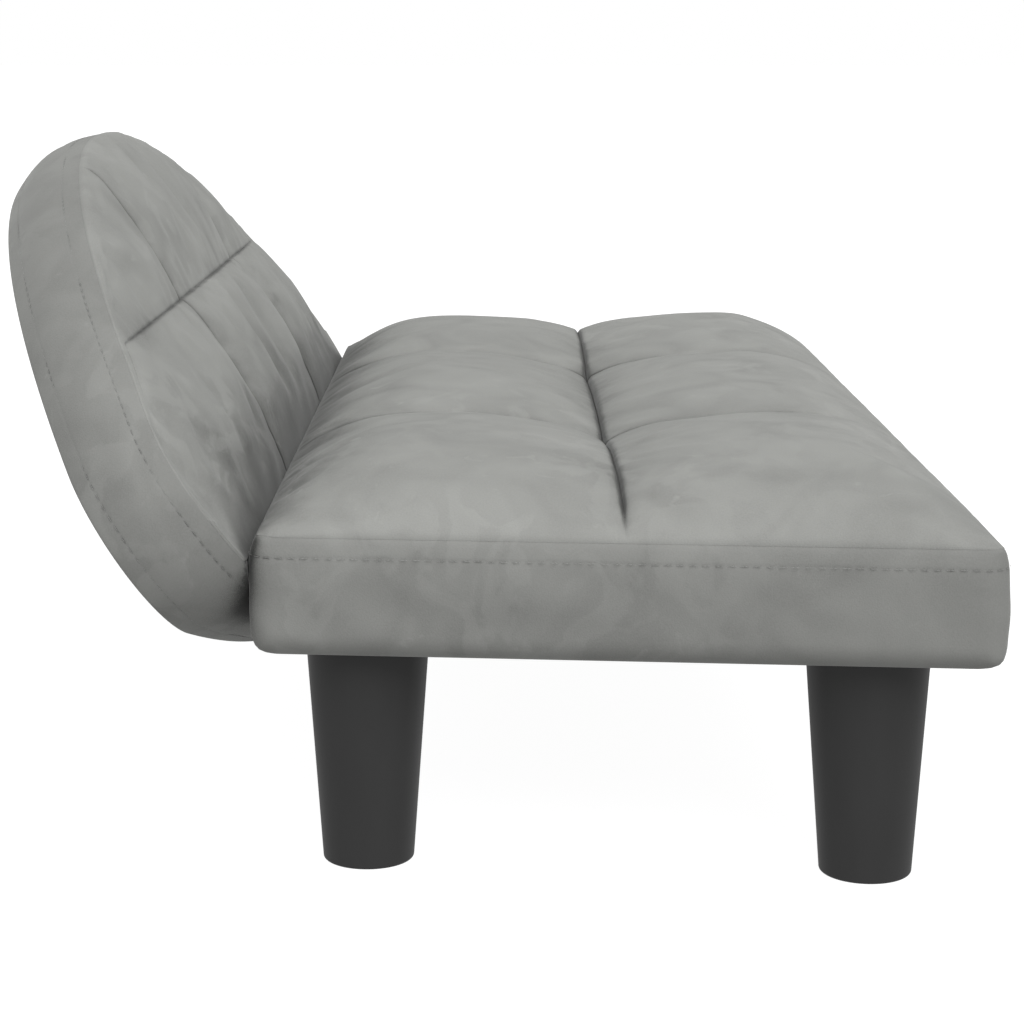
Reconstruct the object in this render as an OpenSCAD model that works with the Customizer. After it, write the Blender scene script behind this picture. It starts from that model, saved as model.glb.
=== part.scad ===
// A very small upholstered daybed. A quilted seat stands on four tapered legs, and an
// arched, quilted back leans away behind it, screwed through its bevelled foot to the
// rear rail of the seat.
// Millimetres. +X runs along the length, -Y is the front, +Z is up. The origin is on the
// floor, under the middle of the whole daybed.

/* [Seat] */
// Length of the seat along its front face
seat_l = 708; // [600:4:900]
// Depth of the seat from its front face to its rear face
seat_d = 314; // [280:2:400]
// Angle at which each end of the seat closes in towards the rear, in degrees
end_angle = 5; // [0:0.5:8]
// Height of the side band, from the underside to the top seam
band_h = 50; // [46:1:75]
// Radius of the upright corners
corner_r = 12; // [6:1:20]
// Radius of the rounded lower edge, over the rails and the velvet alike
edge_r = 10; // [4:0.5:14]
// Height of the tufts above the top seam
seat_crown = 27; // [15:1:40]
// Thickness of the padded velvet on the seat and the back
fabric_t = 2; // [1.5:0.1:3]

/* [Seat frame] */
// Height of the rails and the corner blocks
rail_h = 28; // [24:1:32]
// Thickness of the rails
rail_t = 18; // [14:1:22]
// Thickness of the plywood deck
deck_t = 4; // [3:0.5:6]
// How far a corner block reaches past the axis of its leg
block_reach = 30; // [20:1:40]
// Width of the velvet that is turned under the frame
turn_w = 22; // [12:1:30]
// Thickness of the turned velvet and of the dust cover beside it
dust_t = 1; // [0.6:0.1:2]

/* [Legs] */
// Height of a leg
leg_h = 99; // [60:1:150]
// Diameter of a leg at its top
leg_top_d = 53.6; // [44:0.2:64]
// Diameter of a leg at the floor
leg_foot_d = 39.6; // [32:0.2:43]
// Radius of the rounded edge at the floor
foot_round = 1.5; // [0.5:0.5:3]
// Wall thickness of the moulding
leg_wall = 3; // [2:0.5:4]
// Number of ribs between the wall and the central boss
leg_ribs = 6; // [3:1:8]
// Thickness of a rib
rib_t = 2.4; // [1.6:0.2:3]
// Diameter of the central boss at its top
boss_d = 18; // [15:1:22]
// Distance from the front face of the seat to the axis of a front leg
leg_inset_front = 52; // [40:1:70]
// Distance from the rear face of the seat to the axis of a rear leg
leg_inset_rear = 48; // [40:1:70]
// Distance from the end of the seat to the axis of a leg
leg_inset_end = 43.6; // [36:0.2:60]

/* [Back] */
// How far each end of the back stands inside the end of the seat
back_inset = 17; // [0:1:30]
// Height of the arch above the cross seam, along the slope
back_rise = 96; // [70:1:120]
// Depth of the outline below the cross seam, along the slope
back_drop = 177; // [165:1:190]
// Height of the widest point below the cross seam, along the slope
corner_drop = 69; // [60:1:76]
// Radius of the rounded ends
back_corner_r = 52; // [44:1:60]
// Thickness of the back between its two seams
back_t = 42; // [38:1:60]
// Lean of the back from upright, in degrees
back_tilt = 33.4; // [20:0.2:38]
// Distance from the seat up the front of the back to the cross seam
back_seam_up = 103; // [95:1:115]
// Height above the underside of the seat where the front of the back meets the seat
meet_h = 39; // [32:1:42]
// Height of the trimmed lower edge of the back above the floor, as a drop below the seat
hang = 27; // [15:1:32]
// Height of the tufts of the back above its front seam
back_crown = 9; // [6:1:20]

/* [Back frame] */
// Width of the arched rail and the end posts, in the plane of the back
arch_w = 32; // [24:1:40]
// Thickness of the foam behind the front panel
back_foam_t = 15; // [10:1:20]
// Thickness of the back board
board_t = 3; // [2:0.5:4]
// Width of the two uprights
upright_w = 30; // [20:1:40]
// Length of the lap joints between the arched rail and the end posts
lap_l = 30; // [20:1:40]

/* [Fasteners] */
// Diameter of the leg studs
stud_d = 8; // [6:1:10]
// Depth of a stud in its leg
stud_depth = 28; // [20:1:40]
// Diameter of the coach screws that hold the back
screw_d = 6; // [5:0.5:8]
// Length of a coach screw inside the bottom rail of the back
screw_bite = 22; // [16:1:24]

/* [Hidden] */
$fn = 96;
ARCH_FN = 240;

// Clearances
join_gap = 0.3;     // between the rear face of the seat and the foot of the back
soft_gap = 0.3;     // between foam and the panel over it
bore_gap = 0.4;     // on the diameter of a clearance hole
cut = 1;            // how far a cutting solid runs past the face it cuts
crisp = 0.1;        // sinks a round into its two faces, so that it meets them at an edge

// Seat, from the front backwards and from the floor upwards
overall_d = seat_d + join_gap + (back_seam_up + back_rise) * sin(back_tilt)
    + back_t * cos(back_tilt);
seat_front = -overall_d / 2;
seat_rear = seat_front + seat_d;
frame_z = leg_h + dust_t;
deck_z = frame_z + rail_h;
foam_z = deck_z + deck_t;
seam_z = leg_h + band_h;
quilt_z = seam_z - fabric_t;
cross_x = seat_l / 6;               // the cross seams share the front in three
rail_inset = fabric_t + rail_t;

// Back: its own frame has X along the width, Y through the thickness from the front
// seam to the rear seam, and Z up the slope from the cross seam
back_w = seat_l - 2 * back_inset;
bevel_y = seat_rear + join_gap;
meet_z = leg_h + meet_h;
trim_z = leg_h - hang;
seam_at = [0, bevel_y + back_seam_up * sin(back_tilt), meet_z + back_seam_up * cos(back_tilt)];
corner_x = back_w / 2 - back_corner_r;
top_arch_r = arch_radius(back_rise + corner_drop);
low_arch_r = arch_radius(back_drop - corner_drop);
rail_lift = 8;                      // how far the bottom rail stands above the meeting line
rail_top = rail_lift - back_seam_up;
board_y = back_foam_t;
frame_y = board_y + board_t;
rear_y = back_t - fabric_t;
lap_top = -30;                      // upper end of the lap joints, along the slope
lap_low = lap_top - lap_l;
lap_y = (frame_y + rear_y) / 2;

// Legs and fasteners
LEFT = -1;
RIGHT = 1;
FRONT = 0;
REAR = 1;
CORNERS = [[LEFT, FRONT], [RIGHT, FRONT], [LEFT, REAR], [RIGHT, REAR]];
foot_r = leg_foot_d / 2;
top_r = leg_top_d / 2;
leg_floor = 4;                      // thickness of the closed foot
rib_drop = 2;                       // ribs and boss stop short of the rim by this
boss_draft = 2;                     // the boss is wider at its root by this
nut_barrel_d = stud_d + 2.4;
nut_barrel_l = 9;
nut_flange_d = stud_d * 2.4;
nut_flange_t = 1.5;
washer_d = screw_d * 3;
washer_t = 1.6;
washer_edge = 1;                    // between a washer and the edge of the rail
head_d = screw_d * 1.9;
head_t = 4;
screw_inset = washer_d / 2 + washer_edge;
screw_high = deck_z - screw_inset;
screw_low = frame_z + screw_inset;
head_room = 20;                     // room for a spanner beside a screw head
screw_bore = screw_d + bore_gap;
screw_x_outer = leg_at(RIGHT, REAR)[0] - block_reach - head_room;
screw_x_inner = cross_x - rail_t / 2 - head_room;
SCREWS = [[-screw_x_outer, screw_high], [-screw_x_inner, screw_low],
    [screw_x_inner, screw_low], [screw_x_outer, screw_high]];

// Grid of the quilted panels
SEAT_COLS = 36;
SEAT_ROWS = 11;                     // rows in each of the two halves
BACK_COLS = 36;
BACK_ROWS = 9;
foam_share = 0.5;                   // how much of each tuft is foam
along_fullness = 0.8;               // lower is fuller: tufts along the panel, and across it
across_fullness = 0.7;
seat_cross_share = 0.72;            // height of the cross seams, as a share of the tufts
back_cross_share = 0.7;
seam_share = 0.18;                  // depth left by the long seam where a cross seam meets it
seam_rise_middle = 0.12;            // how much that seam rises between the cross seams
seam_rise_end = 0.4;                // and how much it rises in the tufts at the ends
end_trim = 0.9995;                  // keeps the end columns of the back from closing to a point

// Half the length of the seat at a distance d behind its front face
function half_len(d) = seat_l / 2 - d * tan(end_angle);

// Radius of an arch that closes on both end circles, h from its crown to their centres
function arch_radius(h) = (pow(corner_x, 2) + h * h - pow(back_corner_r, 2)) / (2 * (h - back_corner_r));

// Plan position of a leg
function leg_depth(row) = row == REAR ? seat_d - leg_inset_rear : leg_inset_front;
function leg_at(side, row) = [side * (half_len(leg_depth(row)) - leg_inset_end), seat_front + leg_depth(row)];

// ---- Seat outline ----

// The seat's plan, drawn in by inset. Its corners stay round until the inset uses them up.
module seat_outline(inset = 0) {
    least_r = 1;
    r = max(corner_r - inset, least_r);
    reach = inset + r;
    far = seat_d - reach;
    front = [half_len(reach) - reach / cos(end_angle), seat_front + reach];
    rear = [half_len(far) - reach / cos(end_angle), seat_front + far];
    out = [r * cos(end_angle), r * sin(end_angle)];
    right = [front - [0, r], front + out, rear + out, rear + [0, r]];
    left = [for (i = [3:-1:0]) [-right[i][0], right[i][1]]];
    polygon(concat(right, left));
    for (side = [LEFT, RIGHT], p = [front, rear])
        translate([side * p[0], p[1]]) circle(r);
}

module seat_slab(z0, z1, inset) {
    translate([0, 0, z0]) linear_extrude(z1 - z0) seat_outline(inset);
}

// A strip of the plan from depth d0 to d1, between two insets from the end of the seat
module end_strip(side, d0, d1, inset0, inset1) {
    a = inset0 / cos(end_angle);
    b = inset1 / cos(end_angle);
    polygon([
        [side * (half_len(d0) - a), seat_front + d0],
        [side * (half_len(d1) - a), seat_front + d1],
        [side * (half_len(d1) - b), seat_front + d1],
        [side * (half_len(d0) - b), seat_front + d0]
    ]);
}

// Bar that rounds an edge along X to a radius, cutting from the corner of the edge inwards
module edge_cutter(r, length) {
    side = r - crisp;
    rotate([90, 0, 90]) linear_extrude(length, center = true) difference() {
        translate([-cut, -cut]) square(side + cut);
        translate([side, side]) circle(r);
    }
}

// Rounds the lower edge, at height z, of a piece of the plan drawn in by inset
module rounded_edge(z, inset) {
    r = edge_r - inset;
    middle = seat_front + seat_d / 2;
    end_x = half_len(seat_d / 2) - inset / cos(end_angle);
    difference() {
        children();
        for (side = [LEFT, RIGHT]) {
            translate([0, middle + side * (seat_d / 2 - inset), z])
                rotate([0, 0, side > 0 ? 180 : 0]) edge_cutter(r, seat_l);
            translate([side * end_x, middle, z])
                rotate([0, 0, side * (90 + end_angle)]) edge_cutter(r, 2 * seat_d);
        }
    }
}

// ---- Legs ----

function leg_r(z) = foot_r + (top_r - foot_r) * z / leg_h;

// Tapered hollow moulding with a closed foot, a drafted boss for the stud and radial ribs
module leg(side, row) {
    inner_h = leg_h - leg_floor;
    translate(concat(leg_at(side, row), 0)) color("#38383a") difference() {
        union() {
            difference() {
                rotate_extrude() leg_profile();
                translate([0, 0, leg_floor])
                    cylinder(h = inner_h + cut, r1 = leg_r(leg_floor) - leg_wall,
                        r2 = leg_r(leg_h + cut) - leg_wall);
            }
            translate([0, 0, leg_floor / 2])
                cylinder(h = leg_h - rib_drop - leg_floor / 2, d1 = boss_d + boss_draft, d2 = boss_d);
            intersection() {
                cylinder(h = leg_h - rib_drop, r1 = leg_r(0) - leg_wall / 2,
                    r2 = leg_r(leg_h - rib_drop) - leg_wall / 2);
                for (i = [0:leg_ribs - 1])
                    rotate([0, 0, 360 * i / leg_ribs])
                        translate([0, -rib_t / 2, leg_floor / 2]) cube([top_r, rib_t, leg_h]);
            }
        }
        translate([0, 0, leg_h - stud_depth])
            cylinder(h = stud_depth + cut, d = stud_d);
    }
}

// Half section of the outer skin, with the rounded edge at the floor
module leg_profile() {
    lean = atan((top_r - foot_r) / leg_h);
    centre = [foot_r - foot_round, foot_round];
    touch = centre + foot_round * [cos(lean), -sin(lean)];
    translate(centre) circle(foot_round);
    polygon([[0, 0], [centre[0], 0], touch, [top_r, leg_h], [0, leg_h]]);
}

// Threaded studs, fast in the legs and reaching into the nuts
module leg_studs() {
    color("silver") for (c = CORNERS)
        translate(concat(leg_at(c[0], c[1]), leg_h - stud_depth))
            cylinder(h = stud_depth + deck_z - nut_flange_t - leg_h, d = stud_d);
}

// Flanged nuts let into the tops of the corner blocks
module leg_t_nuts() {
    color("silver") for (c = CORNERS)
        translate(concat(leg_at(c[0], c[1]), deck_z)) difference() {
            union() {
                translate([0, 0, -nut_flange_t]) cylinder(h = nut_flange_t, d = nut_flange_d);
                translate([0, 0, -nut_flange_t - nut_barrel_l])
                    cylinder(h = nut_barrel_l + nut_flange_t / 2, d = nut_barrel_d);
            }
            translate([0, 0, -nut_flange_t - nut_barrel_l - cut])
                cylinder(h = nut_flange_t + nut_barrel_l + 2 * cut, d = stud_d + bore_gap / 2);
        }
}

// ---- Seat frame ----

// Front or rear rail: a straight board whose ends follow the outline of the seat
module long_rail(y) {
    intersection() {
        rounded_edge(frame_z, fabric_t) seat_slab(frame_z, deck_z, fabric_t);
        translate([-seat_l / 2, y, frame_z - cut]) cube([seat_l, rail_t, rail_h + 2 * cut]);
    }
}

module seat_front_rail() {
    color("burlywood") long_rail(seat_front + fabric_t);
}

module seat_rear_rail() {
    color("burlywood") difference() {
        long_rail(seat_rear - rail_inset);
        screw_holes(seat_rear - rail_inset - cut, rail_t + 2 * cut);
    }
}

module side_rail(side) {
    color("burlywood") rounded_edge(frame_z, fabric_t)
        translate([0, 0, frame_z]) linear_extrude(rail_h)
            end_strip(side, rail_inset, seat_d - rail_inset, fabric_t, rail_inset);
}

module seat_cross_rails() {
    color("burlywood") for (side = [LEFT, RIGHT])
        translate([side * cross_x - rail_t / 2, seat_front + rail_inset, frame_z])
            cube([rail_t, seat_d - 2 * rail_inset, rail_h]);
}

// Blocks in the corners of the frame, bored for the leg nuts
module seat_corner_blocks() {
    color("tan") for (c = CORNERS) {
        depth = leg_depth(c[1]);
        d0 = c[1] == REAR ? depth - block_reach : rail_inset;
        d1 = c[1] == REAR ? seat_d - rail_inset : depth + block_reach;
        difference() {
            translate([0, 0, frame_z]) linear_extrude(rail_h)
                end_strip(c[0], d0, d1, rail_inset, leg_inset_end + block_reach);
            translate(concat(leg_at(c[0], c[1]), frame_z - cut)) {
                cylinder(h = rail_h + 2 * cut, d = nut_barrel_d);
                translate([0, 0, rail_h + cut - nut_flange_t])
                    cylinder(h = nut_flange_t + cut, d = nut_flange_d + bore_gap);
            }
        }
    }
}

module seat_deck() {
    color("wheat") seat_slab(deck_z, foam_z, fabric_t);
}

// ---- Quilting ----

// Closed solid over a grid of plan points, with an upper and a lower height at each point
module pad(points, high, low) {
    rows = len(points);
    cols = len(points[0]);
    n = rows * cols;
    vertices = concat(
        [for (j = [0:rows - 1], i = [0:cols - 1]) [points[j][i][0], points[j][i][1], high[j][i]]],
        [for (j = [0:rows - 1], i = [0:cols - 1]) [points[j][i][0], points[j][i][1], low[j][i]]]);
    cells = [for (j = [0:rows - 2], i = [0:cols - 2]) j * cols + i];
    rim = concat(
        [for (i = [0:cols - 2]) i],
        [for (j = [0:rows - 2]) j * cols + cols - 1],
        [for (i = [cols - 1:-1:1]) (rows - 1) * cols + i],
        [for (j = [rows - 1:-1:1]) j * cols]);
    faces = concat(
        [for (c = cells) [c, c + cols, c + cols + 1]],
        [for (c = cells) [c, c + cols + 1, c + 1]],
        [for (c = cells) [n + c, n + c + cols + 1, n + c + cols]],
        [for (c = cells) [n + c, n + c + 1, n + c + cols + 1]],
        [for (k = [0:len(rim) - 1]) let (a = rim[k], b = rim[(k + 1) % len(rim)]) [a, b, n + b]],
        [for (k = [0:len(rim) - 1]) let (a = rim[k], b = rim[(k + 1) % len(rim)]) [a, n + b, n + a]]);
    polyhedron(vertices, faces);
}

// Height of one tuft at a share s of its width: nothing at both seams, 1 between
function puff(s, fullness) = pow(max(sin(180 * s), 0), fullness);

// Roll of the panel down to an outer seam, 1 well inside and 0 at the seam (s = 1)
function roll(s) = pow(max(1 - pow(s, 5), 0), 0.6);

// Seat tufts as a share of seat_crown: u runs along the seat and v across each half
function seat_swell(u, v) =
    let (third = 1 / 3, e = (abs(u) - third) / (1 - third),
        tuft = puff(e < 0 ? (u + third) / (2 * third) : e, along_fullness),
        along = seat_cross_share * roll(max(e, 0)) + (1 - seat_cross_share) * tuft,
        valley = seam_share + (e < 0 ? seam_rise_middle : seam_rise_end) * tuft)
    along * (valley * roll(abs(v)) + (1 - valley) * puff(abs(v), across_fullness));

// Share of the way from the middle seam to row j, of rows in each half: the rows are
// closer together at the outer seams and at the middle seam
function row_share(j, rows) = let (s = j / rows) s < 1 ? ease(s) - 1 : ease(s - 1);
function ease(s) = (1 - cos(180 * s)) / 2;

// Half length at depth d with the upright corners rounded off
function round_len(d, inset) =
    let (r = max(corner_r - inset, 1), near = min(d - inset, seat_d - inset - d), w = max(r - near, 0))
    half_len(d) - inset - r + sqrt(r * r - w * w);

function seat_points(inset) = [for (j = [0:2 * SEAT_ROWS])
    let (v = row_share(j, SEAT_ROWS), d = seat_d / 2 + v * (seat_d / 2 - inset), h = round_len(d, inset))
    [for (i = [0:SEAT_COLS]) let (u = 2 * i / SEAT_COLS - 1) [u * h, seat_front + d]]];

function seat_heights(base, share) = [for (j = [0:2 * SEAT_ROWS])
    [for (i = [0:SEAT_COLS])
        base + share * seat_crown * seat_swell(2 * i / SEAT_COLS - 1, row_share(j, SEAT_ROWS))]];

function flat(rows, cols, z) = [for (j = [0:rows]) [for (i = [0:cols]) z]];

module seat_foam() {
    color("khaki") pad(seat_points(fabric_t + soft_gap), seat_heights(quilt_z, foam_share),
        flat(2 * SEAT_ROWS, SEAT_COLS, foam_z));
}

// Velvet and wadding, quilted together in two rows of three tufts
module seat_quilt() {
    color("#a5a5a2") pad(seat_points(0), seat_heights(seam_z, 1),
        seat_heights(quilt_z + soft_gap, foam_share));
}

// Side band of the seat, turned under the frame at its lower edge
module seat_boxing() {
    color("#84867f") difference() {
        rounded_edge(leg_h, 0) seat_slab(leg_h, quilt_z, 0);
        rounded_edge(frame_z, fabric_t) seat_slab(frame_z, quilt_z + cut, fabric_t);
        seat_slab(leg_h - cut, frame_z + cut, turn_w);
        screw_holes(seat_rear - fabric_t - cut, fabric_t + 2 * cut);
    }
}

module seat_dust_cover() {
    color("#202020") difference() {
        seat_slab(leg_h, frame_z, turn_w + soft_gap);
        for (c = CORNERS)
            translate(concat(leg_at(c[0], c[1]), leg_h - cut))
                cylinder(h = dust_t + 2 * cut, d = nut_barrel_d);
    }
}

// ---- Back ----

// Puts a piece drawn in the frame of the back in its place
module lean() {
    translate(seam_at) rotate([-back_tilt, 0, 0]) children();
}

// Cuts away what lies in front of the seat's rear face, or below the trimmed lower edge
module bedded(lining = fabric_t) {
    big = 2 * back_w;
    difference() {
        children();
        translate([-big / 2, bevel_y + lining - big, -big / 2]) cube(big);
        translate([-big / 2, -big / 2, trim_z - big]) cube(big);
    }
}

// Outline of the back: two shallow arches that close on a round at each end
module back_outline(inset = 0) {
    past = 40;
    top_c = [0, back_rise - top_arch_r];
    low_c = [0, low_arch_r - back_drop];
    corner = [corner_x, -corner_drop];
    up = top_c + (corner - top_c) * (top_arch_r + past) / norm(corner - top_c);
    down = low_c + (corner - low_c) * (low_arch_r + past) / norm(corner - low_c);
    intersection() {
        translate(top_c) circle(top_arch_r - inset, $fn = ARCH_FN);
        translate(low_c) circle(low_arch_r - inset, $fn = ARCH_FN);
        polygon([corner, up, [0, back_rise + past], [-up[0], up[1]], [-corner[0], corner[1]],
            [-down[0], down[1]], [0, -back_drop - past], down]);
    }
    for (side = [LEFT, RIGHT])
        translate([side * corner[0], corner[1]]) circle(back_corner_r - inset);
}

module back_slab(y0, y1, inset) {
    translate([0, y1, 0]) rotate([90, 0, 0]) linear_extrude(y1 - y0) back_outline(inset);
}

// Keeps what lies between two heights up the slope
module between(low, high, y0 = -cut, y1 = back_t + cut) {
    intersection() {
        children();
        translate([-back_w / 2, y0, low]) cube([back_w, y1 - y0, high - low]);
    }
}

module arch_ring() {
    difference() {
        back_slab(frame_y, rear_y, fabric_t);
        back_slab(frame_y - cut, rear_y + cut, fabric_t + arch_w);
    }
}

// Arched top rail, halved at both ends to lap over the end posts
module back_top_rail() {
    color("burlywood") lean() difference() {
        between(lap_low, back_rise) arch_ring();
        translate([-back_w / 2, frame_y - cut, lap_low - cut])
            cube([back_w, lap_y - frame_y + cut, lap_l + cut]);
    }
}

// Curved end post that spreads into a foot on the bottom rail, halved at its top
module end_post(side) {
    color("tan") lean() intersection() {
        union() {
            between(rail_top, lap_low) arch_ring();
            between(lap_low - cut, lap_top, frame_y, lap_y) arch_ring();
        }
        translate([side > 0 ? 0 : -back_w, 0, -back_drop]) cube([back_w, back_t, back_drop]);
    }
}

// Wedge-shaped bottom rail that beds flat against the rear of the seat
module back_bottom_rail() {
    color("burlywood") difference() {
        bedded() lean() between(-back_drop, rail_top) back_slab(0, rear_y, fabric_t);
        screw_holes(bevel_y, fabric_t + screw_bite + cut);
    }
}

module back_uprights() {
    color("tan") lean() for (side = [LEFT, RIGHT])
        intersection() {
            back_slab(frame_y, rear_y, fabric_t + arch_w);
            translate([side * cross_x - upright_w / 2, 0, rail_top])
                cube([upright_w, back_t, back_rise - rail_top]);
        }
}

module back_board() {
    color("wheat") lean() between(rail_top, back_rise) back_slab(board_y, frame_y, fabric_t);
}

// Upper (sign 1) or lower (sign -1) edge of the outline at a distance x from the middle
function back_edge(x, inset, sign) =
    let (centre = sign > 0 ? back_rise - top_arch_r : low_arch_r - back_drop,
        arch_r = sign > 0 ? top_arch_r : low_arch_r,
        touch = corner_x * (arch_r - inset) / (arch_r - back_corner_r))
    x < touch ? centre + sign * sqrt(pow(arch_r - inset, 2) - x * x)
        : -corner_drop + sign * sqrt(pow(back_corner_r - inset, 2) - pow(x - corner_x, 2));

function back_points(inset) = [for (j = [0:2 * BACK_ROWS])
    [for (i = [0:BACK_COLS])
        let (x = (back_w / 2 - inset) * end_trim * back_col_share(i),
            high = back_edge(abs(x), inset, 1),
            low = max(back_edge(abs(x), inset, -1), rail_top),
            middle = min(0, (low + high) / 2),
            s = row_share(j, BACK_ROWS))
        [x, middle + abs(s) * ((s < 0 ? low : high) - middle)]]];

// Columns of the back, closer together at its two ends
function back_col_share(i) = sin(90 * (2 * i / BACK_COLS - 1));

// Back tufts as a share of back_crown at column i and row j
function back_swell(i, j) =
    let (x = abs(back_col_share(i)) * back_w / 2, e = (x - cross_x) / (back_w / 2 - cross_x),
        tuft = puff(e < 0 ? (x / cross_x + 1) / 2 : e, along_fullness),
        along = back_cross_share * roll(max(e, 0)) + (1 - back_cross_share) * tuft)
    along * puff(abs(row_share(j, BACK_ROWS)), across_fullness);

function back_heights(base, share) = [for (j = [0:2 * BACK_ROWS])
    [for (i = [0:BACK_COLS]) base + share * back_crown * back_swell(i, j)]];

// Stands a pad drawn flat up in the frame of the back, its heights towards the front
module upright() {
    rotate([90, 0, 0]) children();
}

module back_foam() {
    color("khaki") lean() upright() pad(back_points(fabric_t + soft_gap), back_heights(0, foam_share),
        flat(2 * BACK_ROWS, BACK_COLS, -back_foam_t));
}

// Velvet and wadding, quilted together in two rows of three tufts
module back_quilt() {
    color("#9a9a97") lean() upright() pad(back_points(0), back_heights(fabric_t, 1),
        back_heights(soft_gap, foam_share));
}

// Side band of the back, from seam to seam
module back_band() {
    color("#84867f") bedded(0) lean() difference() {
        back_slab(0, back_t, 0);
        back_slab(-cut, back_t + cut, fabric_t);
    }
}

module back_rear_panel() {
    color("#84867f") bedded(0) lean() back_slab(rear_y, back_t, fabric_t);
}

// Sheet that closes the bevelled foot, between the bottom rail and the seat
module back_foot_lining() {
    color("#6c6e69") difference() {
        intersection() {
            lean() back_slab(0, rear_y, fabric_t);
            translate([-back_w / 2, bevel_y, trim_z]) cube([back_w, fabric_t, meet_z - trim_z + fabric_t]);
        }
        screw_holes(bevel_y - cut, fabric_t + 2 * cut);
    }
}

// ---- Screws that hold the back ----

module along_screws() {
    for (s = SCREWS)
        translate([s[0], 0, s[1]]) rotate([-90, 0, 0]) children();
}

// Clearance holes from y, for a length
module screw_holes(y, length) {
    along_screws() translate([0, 0, y]) cylinder(h = length, d = screw_bore);
}

module back_screws() {
    head_y = seat_rear - rail_inset - washer_t;
    color("silver") along_screws() {
        translate([0, 0, head_y - head_t]) cylinder(h = head_t, d = head_d, $fn = 6);
        translate([0, 0, head_y - head_t / 2])
            cylinder(h = bevel_y + fabric_t + screw_bite - head_y + head_t / 2, d = screw_d);
    }
}

module back_washers() {
    color("silver") along_screws() translate([0, 0, seat_rear - rail_inset - washer_t]) difference() {
        cylinder(h = washer_t, d = washer_d);
        translate([0, 0, -cut]) cylinder(h = washer_t + 2 * cut, d = screw_bore);
    }
}

leg(LEFT, FRONT);  // leg_front_left
leg(RIGHT, FRONT);  // leg_front_right
leg(LEFT, REAR);  // leg_rear_left
leg(RIGHT, REAR);  // leg_rear_right
leg_studs();
leg_t_nuts();
seat_front_rail();
seat_rear_rail();
side_rail(LEFT);  // seat_left_rail
side_rail(RIGHT);  // seat_right_rail
seat_cross_rails();
seat_corner_blocks();
seat_deck();
seat_foam();
seat_quilt();
seat_boxing();
seat_dust_cover();
back_top_rail();
back_bottom_rail();
end_post(LEFT);  // back_left_post
end_post(RIGHT);  // back_right_post
back_uprights();
back_board();
back_foam();
back_quilt();
back_band();
back_rear_panel();
back_foot_lining();
back_screws();
back_washers();
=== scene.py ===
"""Looks of a very small upholstered daybed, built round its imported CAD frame.

Metres, in the CAD's own frame: +X runs along the length, -Y is the front, +Z is up.
The velvet covers are made here as inflated, sewn panels. The legs and the timber frame
are the CAD nodes themselves, with better materials.
"""
import math

import bmesh
import bpy
import numpy as np
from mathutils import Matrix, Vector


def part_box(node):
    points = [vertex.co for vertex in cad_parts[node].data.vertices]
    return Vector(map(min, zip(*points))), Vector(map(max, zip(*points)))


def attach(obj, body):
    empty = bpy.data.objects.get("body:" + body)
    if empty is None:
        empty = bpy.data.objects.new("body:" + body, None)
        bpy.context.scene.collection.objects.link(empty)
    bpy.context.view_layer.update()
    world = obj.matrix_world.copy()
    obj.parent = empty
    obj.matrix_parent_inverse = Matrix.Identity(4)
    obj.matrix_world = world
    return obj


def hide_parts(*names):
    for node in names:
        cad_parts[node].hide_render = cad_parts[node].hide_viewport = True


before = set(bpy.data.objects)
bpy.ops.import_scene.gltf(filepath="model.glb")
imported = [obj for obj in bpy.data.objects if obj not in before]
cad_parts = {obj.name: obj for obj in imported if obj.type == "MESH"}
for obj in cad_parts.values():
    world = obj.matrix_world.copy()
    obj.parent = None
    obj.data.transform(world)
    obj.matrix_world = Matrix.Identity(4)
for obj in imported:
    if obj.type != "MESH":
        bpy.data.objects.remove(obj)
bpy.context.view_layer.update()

# ---- Driving dimensions, in metres and radians ----

SEAT_HALF = 0.354            # half the seat along its front face
END_ANGLE = math.radians(5)  # how the ends close in towards the rear
CORNER_R = 0.012             # upright corners of the seat
VELVET = 0.002               # velvet with its wadding
SEAT_HIGH = 0.027            # crest of a tuft over the top seam
SEAT_RISE = 0.066            # distance from the front or rear seam to the crest
END_RISE = 0.100             # and from an end seam
SEAM_IN = 0.0034             # how far the top seam is drawn in from the outline
CROSS_SHARE = 0.74           # height kept at a cross seam
LONG_SHARE = 0.18            # height kept where the long seam meets a cross seam
LONG_RISE = (0.12, 0.40)     # how much more it keeps in the middle tufts, and in the end ones
EDGE_ROUND = 0.010           # rounding of the side band's lower edge
TURN = 0.022                 # velvet turned under the frame
SEAM_FADE = 0.025            # the sewn lines fade out this close to the rim

LEAN = math.radians(33.4)    # lean of the back from upright
BACK_RISE = 0.096            # arch above the level seam
BACK_DROP = 0.177            # outline below the level seam
END_DROP = 0.069             # widest point below the level seam
END_R = 0.052                # rounded ends
BACK_T = 0.042               # between the two seams of the back
BACK_HIGH = 0.0135           # crest of a tuft over the front seam, in the middle
BACK_FALL = 0.150            # the crests fall from this far from the middle to the ends
BACK_ROLL = 0.060            # distance from the outline to the crest
BACK_CROSS_SHARE = 0.60      # height kept at a cross seam of the back
LEVEL_SHARE = 0.52           # height kept at its level seam
UPPER_RISE = 0.065           # distance from the level seam to the crest above it
LOWER_RISE = 0.022           # and below it
FOOT_DROP = 0.102            # lower edge of the front panel below the level seam
RAIL_TOP = -0.080            # below this the panel lies on the bottom rail
RAIL_FADE = 0.015            # height over which the swelling dies out above that
BEND, BEND_FROM = 0.0015, 0.28  # how far the front seam bends back at the ends, and from where
BAND_CROWN = 0.0045          # how far the back's band bulges between its seams

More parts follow.
